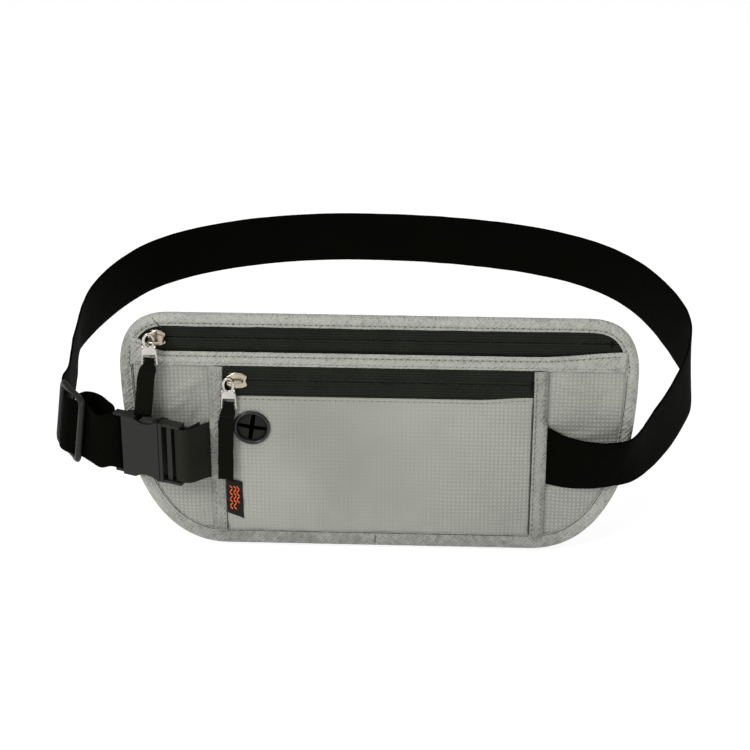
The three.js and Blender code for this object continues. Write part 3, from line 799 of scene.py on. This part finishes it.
# A painted shadow along the pocket's right edge, where it meets the tape.
shadow_seam("pocket_side_seam_shadow",
            [(77.5 + 0.15 * wave(z, 0, 20, 25), 6.85, z) for z in np.linspace(-44, 29, 74)], 0.26, 26)


# ---------- zips ----------
def top_edge(x, inset):
    """The height of the bag's top edge at that x, inside the outline by inset."""
    moved = OUTLINE + INWARD * inset
    upper = moved[moved[:, 1] > 10]
    order = np.argsort(upper[:, 0])
    return float(np.interp(x, upper[order, 0], upper[order, 1]))


def zip_tape(name, node, centre, side, reach, half, depth):
    """Half a zip: woven tape whose inner edge is folded back over the coil."""
    inner = centre + side * ZIP_GAP / 2
    rings = []
    for x in np.linspace(-half, half, int(half) + 1):
        outer = min(centre + reach, top_edge(x, 3)) if side > 0 else centre - reach
        soft = depth + 0.12 * wave(x, centre, 10, 41)
        rings.append([spot(x, d, z) for d, z in [
            (depth, outer), (depth + 0.45, outer), (soft + 0.5, inner + side * 5.0),
            (soft + 0.55, inner + side * 2.6), (depth + 0.38, inner + side * 2.2),
            (depth + 0.6, inner + side * 1.7), (depth + 0.62, inner + side * 0.6),
            (depth + 0.4, inner + side * 0.1), (depth + 0.1, inner), (depth, inner + side * 0.5),
        ]])
    piece = tube(name, rings, ZIP_CLOTH, "bag")
    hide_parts(node)


def coil(name, node, centre, side, half, depth):
    """The nylon coil behind one edge of a zip: one loop for each tooth."""
    pitch, steps = 1.5, 8
    path = []
    for k in range(int(2 * half / pitch) * steps + 1):
        a = 2 * math.pi * k / steps
        path.append(spot(pitch * k / steps - half, depth + 0.2 * math.cos(a),
                         centre + side * (1.15 + 0.6 * math.sin(a))))
    rings = []
    for k, p in enumerate(path):
        along = heading(path, k)
        first = np.cross(along, (1.0, 0.2, 0.1))
        first /= np.linalg.norm(first)
        second = np.cross(along, first)
        rings.append([p + 0.17 * (first * math.cos(t) + second * math.sin(t)) for t in angles(5)])
    piece = tube(name, rings, COIL, "bag")
    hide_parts(node)


def zip_run(name, centre, half, up, down, tape_depth, coil_depth):
    for word, side, reach in (("upper", 1, up), ("lower", -1, down)):
        zip_tape(f"{name}_{word}_cloth", f"{name}_tape_{word}", centre, side, reach, half, tape_depth)
    for word, side in (("upper", 1), ("lower", -1)):
        coil(f"{name}_{word}_teeth", f"{name}_coil_{word}", centre, side, half - 3, coil_depth)


zip_run("top_zip", TOP_ZIP_Z, 121, 8.6, 8.9, 3.7, 3.15)
zip_run("pocket_zip", POCKET_ZIP_Z, 77.4, 7.9, 8.2, 6.0, 5.5)


# ---------- webbing ----------
def catmull_rom(route):
    """The centripetal curve through the route, sampled evenly in each span."""
    p = [np.array(r[:3], float) for r in route]
    out = []
    for i in range(len(p) - 1):
        p0 = p[i - 1] if i else 2 * p[0] - p[1]
        p3 = p[i + 2] if i + 2 < len(p) else 2 * p[-1] - p[-2]
        p1, p2 = p[i], p[i + 1]
        t01, t12, t23 = (max(np.linalg.norm(b - a) ** 0.5, 1e-4) for a, b in ((p0, p1), (p1, p2), (p2, p3)))
        m1 = (p2 - p1) + t12 * ((p1 - p0) / t01 - (p2 - p0) / (t01 + t12))
        m2 = (p2 - p1) + t12 * ((p3 - p2) / t23 - (p3 - p1) / (t12 + t23))
        count = max(4, int(np.linalg.norm(p2 - p1) * SAMPLES_PER_MM))
        for k in range(count):
            t = k / count
            here = ((2 * t**3 - 3 * t**2 + 1) * p1 + (t**3 - 2 * t**2 + t) * m1
                    + (-2 * t**3 + 3 * t**2) * p2 + (t**3 - t**2) * m2)
            lean, width = (route[i][j] * (1 - t) + route[i + 1][j] * t for j in (3, 4))
            out.append((here, lean, width))
    out.append((p[-1], route[-1][3], route[-1][4]))
    return out


def ribbon(name, route, side, material, body, seed):
    """Webbing swept along a route, with rounded selvedges and a slight sway of its own."""
    samples = catmull_rom(route)
    spots = np.array([s[0] for s in samples])
    run = run_along(spots)
    rings, uvs = [], []
    across = [-1, -0.985, -0.94, -0.6, -0.2, 0.2, 0.6, 0.94, 0.985, 1]
    for i, (centre, lean, width) in enumerate(samples):
        along = heading(spots[:, :2], i)
        outward = np.array((-along[1], along[0], 0)) * side
        angle = math.radians(lean)
        up = np.array((0, 0, 1)) * math.cos(angle) + outward * math.sin(angle)
        through = outward * math.cos(angle) - np.array((0, 0, 1)) * math.sin(angle)
        fray = 0.12 * wave(run[i], 0, 9, seed)
        ring = []
        for face in (1, -1):
            for a in across[::face]:
                rim = 1 if abs(a) < 0.95 else (0.78 if abs(a) < 0.99 else 0.3)
                z = a * (width / 2 + (fray if abs(a) > 0.9 else 0))
                ring.append(centre + up * z + through * face * WEB_THICK / 2 * rim)
                uvs.append((run[i], z + (0 if face == 1 else 40)))
        rings.append(ring)
    return tube(name, rings, material, body, uvs)


def placed(part, along, out):
    """X and Y of a point given along a part and out from it."""
    turn = math.radians(part["turn"])
    return (part["x"] + along * math.cos(turn) - out * math.sin(turn),
            part["y"] + along * math.sin(turn) + out * math.cos(turn))


def on_buckle(along, out):
    return (*placed(BUCKLE, along, out), BUCKLE["z"], 0, WEB_NARROW)


def on_glide(along, out):
    return (*placed(GLIDE, along, out), GLIDE["z"], -GLIDE["roll"], WEB_NARROW)


def round_bar(along, toward):
    """Half a turn round a bar of the buckle."""
    return [on_buckle(along + toward * BAR_RADIUS * math.sin(a), BAR_RADIUS * math.cos(a))
            for a in (math.pi * k / 4 for k in range(5))]


def level(*points):
    """Full-width route points at mid height, from (x, y, lean)."""
    return [(x, y, 0, lean, WEB_WIDTH) for x, y, lean in points]


# Points of a route are x, y, z, lean in degrees and width.
RIGHT_ROUTE = level(
    (79.5, STRAP_Y, 0), (84.8, STRAP_Y, 0), (88.5, -115, 3), (94, -119, 9), (103, -122.2, 15),
    (113, -122.6, 19), (122.5, -119.4, 20), (129.8, -111.8, 10), (134.6, -103.8, 4), (141.3, -90, -2),
    (150, -70, -5), (157.5, -49, -7), (164.7, -25, -8), (168.4, -2, -4), (169.3, 20, 4),
    (167.3, 43, 10), (163, 66, 11), (156.8, 89, 9), (147.5, 113, 6), (132, 137.5, 2),
    (110.5, 157.3, 0), (81, 173.3, 0), (50, 182.8, 0))
LEFT_ROUTE = [
    *level((24.6, 187.7, 0), (4, 189.9, 0), (-12, 190.6, 0), (-33, 190.7, 0), (-54, 188.4, 0),
           (-76, 183.6, 0), (-102, 174, 0), (-130, 157, 0), (-151, 135, 0), (-163.2, 111, 0),
           (-170.8, 88, -1), (-176, 64, -4), (-178.2, 42, -9)),
    (-177, 24, 0.2, -7, WEB_WIDTH), (-174.8, 6, 0.4, -4, WEB_WIDTH), (-172.8, -14, 0.9, -2, WEB_WIDTH),
    (-170.6, -34, 1.6, -3, 31.4), (-169.1, -54, 2.8, -6, 30.4),
    on_glide(23, -2.4), on_glide(14.5, -2.9), on_glide(9, -0.6), on_glide(5, 2.8), on_glide(0, 4),
    on_glide(-5, 2.8), on_glide(-9, -0.6), on_glide(-14.5, -2.8), (-146.8, -107.6, 3.8, -3, 30),
    (-142, -112.4, 3, 0, 29.8), on_buckle(29.4, 2.6),
    *round_bar(FEMALE_BAR, -1),
    on_buckle(28.8, -2.8), (-135.4, -105, 5.2, 0, 29.6), (-139.2, -99, 4.8, 0, 29.8),
    (-144, -92, 4.4, 0, 30), (-149, -87.4, 4, 0, 30), (-153.4, -85.8, 4, -3, 29.6),
    on_glide(1.5, -4.4),
]
SHORT_ROUTE = [
    (-79.5, STRAP_Y, 0, 0, 31.4), (-84.8, STRAP_Y, 0, 0, 31.4), (-87.8, -115.6, 0.5, 0, 31),
    (-90.2, -120.5, 1.6, 0, 30.6), (-92.6, -126.5, 3.2, 0, 30), (-94.4, -130.3, 4.6, 0, 29.6),
    on_buckle(-13.1, 2),
    *round_bar(MALE_BAR, 1),
    on_buckle(-12.9, -2.2), (-94, -124.5, 3.6, 0, 29.8), (-92, -119, 2, 0, 30.4),
    (-90.4, -115.2, 1.2, 0, 31),
]

belt = ribbon("belt_webbing", RIGHT_ROUTE + LEFT_ROUTE, -1, WEBBING, "bag", 51)
short_strap = ribbon("short_strap_webbing", SHORT_ROUTE, 1, SHORT_WEBBING, "bag", 52)
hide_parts("strap_short")
belt.parent = None
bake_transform(belt)
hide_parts("strap_left", "strap_right")


# ---------- hard parts ----------
def finish_node(node, material, bevel=0.0, segments=2):
    """Gives a CAD node its material, and rounds its edges by bevel."""
    piece = NODES[node]
    piece.data.materials.clear()
    piece.data.materials.append(material)
    if bevel:
        modifier(piece, "BEVEL", width=bevel * MM, segments=segments, limit_method="ANGLE",
                 angle_limit=math.radians(35), harden_normals=False)


for node in ("buckle_female", "buckle_male"):
    finish_node(node, PLASTIC, 0.6, 3)
for node in ("buckle_prong_upper", "buckle_prong_lower"):
    finish_node(node, PRONG_HIGHLIGHT_PLASTIC, 0.6, 3)
finish_node("cable_port_ring", RUBBER, 0.12)
for node in ("top_zip_stop_left", "top_zip_stop_right", "pocket_zip_stop_left", "pocket_zip_stop_right"):
    finish_node(node, COIL)


def rod(path, half_wide, half_thick, normal, closed=False):
    """An oval bar along a path. half_wide lies in the plane whose normal is given."""
    rings = []
    for i, p in enumerate(path):
        along = heading(path, i, closed)
        wide = np.cross(along, normal)
        wide /= np.linalg.norm(wide)
        thick = np.cross(wide, along)
        w = half_wide[i] if isinstance(half_wide, list) else half_wide
        rings.append([p + wide * w * math.cos(a) + thick * half_thick * math.sin(a) for a in angles(12)])
    return skin(rings, closed)


def rounded_loop(half_a, half_b, radius, steps=6):
    """Points of a rounded rectangle round (0, 0)."""
    out = []
    for k, (sa, sb) in enumerate([(1, 1), (-1, 1), (-1, -1), (1, -1)]):
        for i in range(steps + 1):
            t = math.pi / 2 * (k + i / steps)
            out.append((sa * (half_a - radius) + radius * math.cos(t),
                        sb * (half_b - radius) + radius * math.sin(t)))
    return out


def crowned_plate(outline_points, back_depth, front_depth, round_by):
    """A plate from a convex outline of (x, z), with its front edge rounded over."""
    ring = np.array(outline_points, float)
    middle = ring.mean(0)
    levels = [(1.0, back_depth), (1.0, front_depth - round_by)]
    levels += [(1 - 0.12 * (1 - math.cos(t)), front_depth - round_by * (1 - math.sin(t)))
               for t in (math.pi / 6, math.pi / 3, math.pi / 2)]
    levels.append((0.45, front_depth + round_by * 0.15))
    return skin([[spot(x, depth, z) for x, z in middle + (ring - middle) * scale] for scale, depth in levels])


def smooth_outline(corners, radius=0.5):
    """The closed outline with each corner rounded by about that radius."""
    ring = [np.array(c, float) for c in corners]
    out = []
    for before, corner, after in zip(ring[-1:] + ring[:-1], ring, ring[1:] + ring[:1]):
        first = corner + (before - corner) * min(0.45, radius / np.linalg.norm(before - corner))
        last = corner + (after - corner) * min(0.45, radius / np.linalg.norm(after - corner))
        for t in (0, 0.33, 0.67, 1):
            out.append(first * (1 - t) ** 2 + corner * 2 * t * (1 - t) + last * t**2)
    return out


def slider_piece(name, x, z, rear, front, pull_depth, reach):
    """A slider: two plates, a post between them, a crown for the puller, and two side lips."""
    leg = x - 5.1
    left, nose, wide = leg - 1, leg + reach, 4.3
    face = smooth_outline([
        (left, z - wide + 1.9), (left + 3.6, z - wide), (nose - 2.2, z - wide + 0.5), (nose, z - 2.6),
        (nose - 0.9, z), (nose, z + 2.6), (nose - 2.2, z + wide - 0.3), (left + 4.2, z + wide + 0.3),
        (left, z + wide - 1.9)])
    rear_face = smooth_outline([
        (x - 3.4, z - 3.1), (x + 3.6, z - 3.1), (x + 3.6, z + 3.1), (x - 3.4, z + 3.1)])
    bar = pull_depth + 1.5
    low = front[1] - 0.2
    crown = [spot(leg + along, depth, z) for along, depth in (
        (0, low), (0, bar - 0.9), (0.25, bar - 0.25), (0.9, bar), (3.4, bar + 0.1), (6.0, bar),
        (6.75, bar - 0.25), (7.1, bar - 0.9), (7.1, low))]
    parts = [
        crowned_plate(face, front[0], front[1] + 0.15, 0.45),
        crowned_plate(rear_face, rear[0], rear[1], 0.15),
        rod([spot(x, rear[0] + 0.1, z), spot(x, front[0] + 0.1, z)], 1.4, 0.22, (0, 0, 1)),
        rod(crown, [0.75] + [0.62] * 7 + [0.75], 0.62, (0, 0, 1)),
    ]
    for side in (1, -1):
        lip = [spot(end, front[0] - 0.15, z + side * (wide - 0.35)) for end in (left + 1.2, nose - 3.6)]
        parts.append(rod(lip, 0.35, 0.45, (0, 1, 0)))
    piece = build(name + "_metal", *merge(parts), WARM_METAL, name)
    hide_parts(name)
    return leg


def puller_piece(name, x, z, depth):
    """An oval eye, a cross plate and two legs that hold a bar for the tab."""
    mid = depth + 0.45
    eye = [spot(x + 2.55 * math.cos(t), mid, z - 2.0 + 3.55 * math.sin(t)) for t in angles(28)]
    plate = smooth_outline([(x - 3.1, z - 5.0), (x - 3.6, z - 9.4), (x + 3.6, z - 9.4), (x + 3.1, z - 5.0)])
    parts = [
        rod(eye, 0.72, 0.45, (0, 1, 0), closed=True),
        crowned_plate(plate, depth + 0.1, depth + 0.8, 0.2),
        rod([spot(x - 3.3, mid, z - BAR_DROP), spot(x + 3.3, mid, z - BAR_DROP)], 0.42, 0.42, (0, 1, 0)),
    ]
    for side in (1, -1):
        leg = [spot(x + side * out, mid, z - down)
               for out, down in ((2.9, 4.2), (3.15, 7), (3.45, 11), (3.65, 14.2), (3.68, 15.5))]
        parts.append(rod(leg, [0.5, 0.55, 0.5, 0.48, 0.3], 0.42, (0, 1, 0)))
    piece = build(name + "_metal", *merge(parts), METAL, name)
    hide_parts(name)


def tab_piece(name, node, body, x, z, depth, drop, lean, half, shift, bow, seed):
    """A webbing tab folded round the puller's bar and sewn to itself."""
    turn = math.radians(lean)

    def on_tab(across, depth, up):
        """A point of the tab, given from the middle of the puller's bar."""
        return spot(x + across * math.cos(turn) + up * math.sin(turn), depth,
                    z - BAR_DROP - across * math.sin(turn) + up * math.cos(turn))

    path = [(-0.36, -drop + k * (drop - 2.4) / 16) for k in range(17)]
    path += [(-0.92 * math.cos(t), math.sin(t) - 0.12) for t in (math.pi * k / 6 for k in range(7))]
    path += [(0.36, -2.4 - k * (drop - 2.4) / 16) for k in range(17)]
    run = run_along(path)
    rings, uvs = [], []
    for i, (out, up) in enumerate(path):
        tangent = heading(path, i)
        wide = 2.7 + (half - 2.7) * smoothstep((-up - 2.4) / 2.6) + 0.12 * wave(up, out, 5, seed)
        sway = 0.3 * wave(up, 3, 12, seed + 1) * smoothstep(-up / 10) + shift * smoothstep((-up - 1) / 9)
        out += bow * smoothstep((-up - 2) / 9)
        ring = []
        for side, face in [(-1, 1), (-0.9, 1.15), (0, 1.15), (0.9, 1.15), (1, 1),
                           (1, -1), (0.9, -1.15), (0, -1.15), (-0.9, -1.15), (-1, -1)]:
            ring.append(on_tab(side * wide + sway, depth + 0.45 + out - tangent[1] * face * 0.27,
                               up + tangent[0] * face * 0.27))
            uvs.append((run[i], side * wide))
        rings.append(ring)
    piece = tube(name, rings, TAB_WEBBING, body, uvs)
    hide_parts(node)
    along = np.array((math.cos(turn), 0, -math.sin(turn)))
    seam = [capsule(on_tab(across, depth + 1.1 + bow * 0.7, up), along, 1.0, 0.14)
            for across in shift + np.linspace(-2.8, 2.8, 5) for up in (-6.4, -9.0)]
    build(name + "_seam", *merge(seam), BLACK_THREAD, body)


TOP_PULL_DEPTH, POCKET_PULL_DEPTH, TOP_PULL_LIFT = 10.35, 7.85, 2.4
top_leg = slider_piece("top_slider", -108.2, TOP_ZIP_Z, (2.15, 2.55), (5.6, 6.2), TOP_PULL_DEPTH, 7.9)
puller_piece("top_puller", top_leg, TOP_ZIP_Z + TOP_PULL_LIFT, TOP_PULL_DEPTH)
tab_piece("top_tab_webbing", "top_pull_tab", "top_tab", top_leg, TOP_ZIP_Z + TOP_PULL_LIFT, TOP_PULL_DEPTH,
          30.4, 7, 4.3, -0.9, 1.2, 61)
pocket_leg = slider_piece(
    "pocket_slider", -69.8, POCKET_ZIP_Z, (4.65, 5.05), (6.65, 7.25), POCKET_PULL_DEPTH, 9.6)
puller_piece("pocket_puller", pocket_leg, POCKET_ZIP_Z, POCKET_PULL_DEPTH)
tab_piece("pocket_tab_webbing", "pocket_pull_tab", "pocket_tab", pocket_leg, POCKET_ZIP_Z,
          POCKET_PULL_DEPTH, 41.5, 2, 3.85, -1.1, 1.8, 63)


def in_hardware(part, along, out, up):
    """A point of the buckle or the adjuster, given in its own plane."""
    roll = math.radians(part["roll"])
    x, y = placed(part, along, out * math.cos(roll) - up * math.sin(roll))
    return np.array((x, y, part["z"] + out * math.sin(roll) + up * math.cos(roll)))


def adjuster():
    """A moulded three-bar slide with rounded bars; its side rails bow a little."""
    normal = in_hardware(GLIDE, 0, 1, 0) - in_hardware(GLIDE, 0, 0, 0)
    loop = rounded_loop(14.75, 16.1, 3.2, 5)
    path = []
    for i, (a, u) in enumerate(loop):
        path.append((a, u))
        following = loop[(i + 1) % len(loop)]
        if math.dist((a, u), following) > 6:
            path += [(a + (following[0] - a) * k / 8, u + (following[1] - u) * k / 8) for k in range(1, 8)]
    wide = [2.05 if abs(a) > 13 else 1.6 for a, _ in path]
    points = [in_hardware(GLIDE, a, 0.55 * math.sin(math.pi * a / 15) * abs(u) / 16, u) for a, u in path]
    bar = [in_hardware(GLIDE, 0, 0, u) for u in np.linspace(-15.4, 15.4, 9)]
    parts = [rod(points, wide, 1.75, normal, closed=True), rod(bar, 1.9, 1.3, normal)]
    piece = build("strap_adjuster", *merge(parts), PLASTIC, "free_strap")
    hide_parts("tri_glide")


adjuster()


PORT_TURN = math.radians(-9)


def port():
    """A moulded rubber cable port: a rolled rim and four flaps that meet at a cross-shaped slit, over a
    near-black disc of painted shade.
    """
    rim = [(7.4, 5.5), (7.5, 6.9), (7.9, 7.1), (9.1, 6.95), (9.3, 7.3), (9.15, 7.75), (8.6, 8.05),
           (8.0, 7.95), (7.7, 7.3), (7.3, 6.75), (7.1, 6.2), (7.1, 5.5)]
    rings = [[spot(PORT_X + r * math.cos(t), d, PORT_Z + r * math.sin(t)) for r, d in rim]
             for t in angles(48)]
    body = tube("cable_port_rim", rings, RUBBER, "bag", closed=True)
    parts = []
    for quarter in range(4):
        start = quarter * math.pi / 2 + PORT_TURN
        front = []
        for r in range(9):
            radius = 1.7 + 5.8 * r / 8
            gap = math.asin(min(0.66, 1.1 * (1.15 - 0.05 * r) / radius))
            for c in range(9):
                t = start + gap + (math.pi / 2 - 2 * gap) * c / 8
                front.append(spot(PORT_X + radius * math.cos(t), 6.2 + 0.5 * (1 - r / 8) ** 2,
                                  PORT_Z + radius * math.sin(t)))
        parts.append(closed_slab([p - FRONT * 0.75 for p in front], front, 9, 9))
    # Painted shade: a near-black disc behind the flaps, so the slit between them reads dark.
    seat = [(PORT_X + 7.6 * math.cos(t), PORT_Z + 7.6 * math.sin(t)) for t in angles(32)]
    build("cable_port_shade_disc", *crowned_plate(seat, 5.15, 5.45, 0.1), PORT_SHADE_BLACK, "bag")
    flaps = build("cable_port_flaps", *merge(parts), FLAPS, "bag")
    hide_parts("cable_port")


port()


def label():
    """A woven side label: a folded black tab with a plain orange zigzag."""
    corners = np.array([(-77.4, -15.6), (-77.4, -35.2), (-69.0, -38.4), (-69.4, -17.4)])
    rows, columns = 12, 8
    front, rear = [], []
    for r in range(rows):
        t = r / (rows - 1)
        left = corners[0] * (1 - t) + corners[1] * t
        right = corners[3] * (1 - t) + corners[2] * t
        for c in range(columns):
            u = c / (columns - 1)
            x, z = left * (1 - u) + right * u
            lift = 0.35 * u * u + 0.12 * wave(x, z, 6, 71)
            front.append(spot(x, 7.45 + lift, z))
            rear.append(spot(x, 6.85 + lift * 0.8, z))
    piece = build("side_label_cloth", *closed_slab(rear, front, rows, columns), LABEL, "bag")
    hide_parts("side_label")
    marks = []
    for column, (x, count) in enumerate(((-75.2, 7), (-73.3, 7), (-71.7, 5))):
        for k in range(count):
            along = np.array((0.62, 0.0, 0.78 if k % 2 else -0.78))
            marks.append(capsule(spot(x, 7.72, -20.2 - 2.0 * k - 0.25 * column), along, 2.3, 0.36))
    build("side_label_pattern", *merge(marks), ORANGE, "bag")


label()

# ---------- floor and light ----------
FLOOR_Z = -0.0565


def backdrop(name, points, faces):
    """A plain piece of the studio that glows, so that it renders white."""
    paint = Paint(name, (0.3, 0.3, 0.3), 0.9, specular=0.03)
    dial(paint.shader, {"Emission Color": (1, 1, 1, 1), "Emission Strength": 0.84})
    mesh = bpy.data.meshes.new(name)
    mesh.from_pydata(points, [], faces)
    mesh.materials.append(paint.material)
    return add_object(name, mesh)


floor = backdrop("studio_floor", [(6 * a, 6 * b, FLOOR_Z) for a, b in ((-1, -1), (1, -1), (1, 1), (-1, 1))],
                 [(0, 1, 2, 3)])

# A low pale wall far off closes the view above the floor. It lights nothing.
WALL_RADIUS, WALL_TOP, WALL_SIDES = 5.9, 3.0, 64
wall = backdrop(
    "studio_wall",
    [(WALL_RADIUS * math.cos(t), WALL_RADIUS * math.sin(t), height)
     for t in angles(WALL_SIDES) for height in (FLOOR_Z, WALL_TOP)],
    [(a, a + 1, (a + 3) % (2 * WALL_SIDES), (a + 2) % (2 * WALL_SIDES)) for a in range(0, 2 * WALL_SIDES, 2)])
assign(wall, visible_diffuse=False, visible_glossy=False, visible_shadow=False)


def area_light(name, location, target, size, power):
    data = assign(bpy.data.lights.new(name, "AREA"), shape="RECTANGLE", size=size, size_y=size, energy=power)
    light = add_object(name, data)
    light.location = location
    light.rotation_euler = (Vector(target) - Vector(location)).to_track_quat("-Z", "Y").to_euler()


area_light("key", (-0.95, -1.15, 0.85), (0, -0.1, 0), 0.5, 14)
area_light("fill", (1.0, -0.9, 0.9), (0, 0, 0), 1.0, 2)
area_light("top", (0.1, -0.3, 1.5), (0, 0, 0), 1.2, 9)
world = bpy.data.worlds.new("studio")
world.use_nodes = True
tree = world.node_tree
split = tree.nodes.new("ShaderNodeSeparateXYZ")
sky = dial(tree.nodes.new("ShaderNodeMapRange"),
           {"From Min": -0.1, "From Max": 0.9, "To Min": 0.1, "To Max": 0.35})
tree.links.new(tree.nodes.new("ShaderNodeTexCoord").outputs["Generated"], split.inputs[0])
tree.links.new(split.outputs["Z"], sky.inputs["Value"])
tree.links.new(sky.outputs[0], tree.nodes["Background"].inputs["Strength"])
tree.nodes["Background"].inputs["Color"].default_value = (1, 1, 1, 1)
bpy.context.scene.world = world
bpy.context.scene.view_settings.view_transform = "Standard"
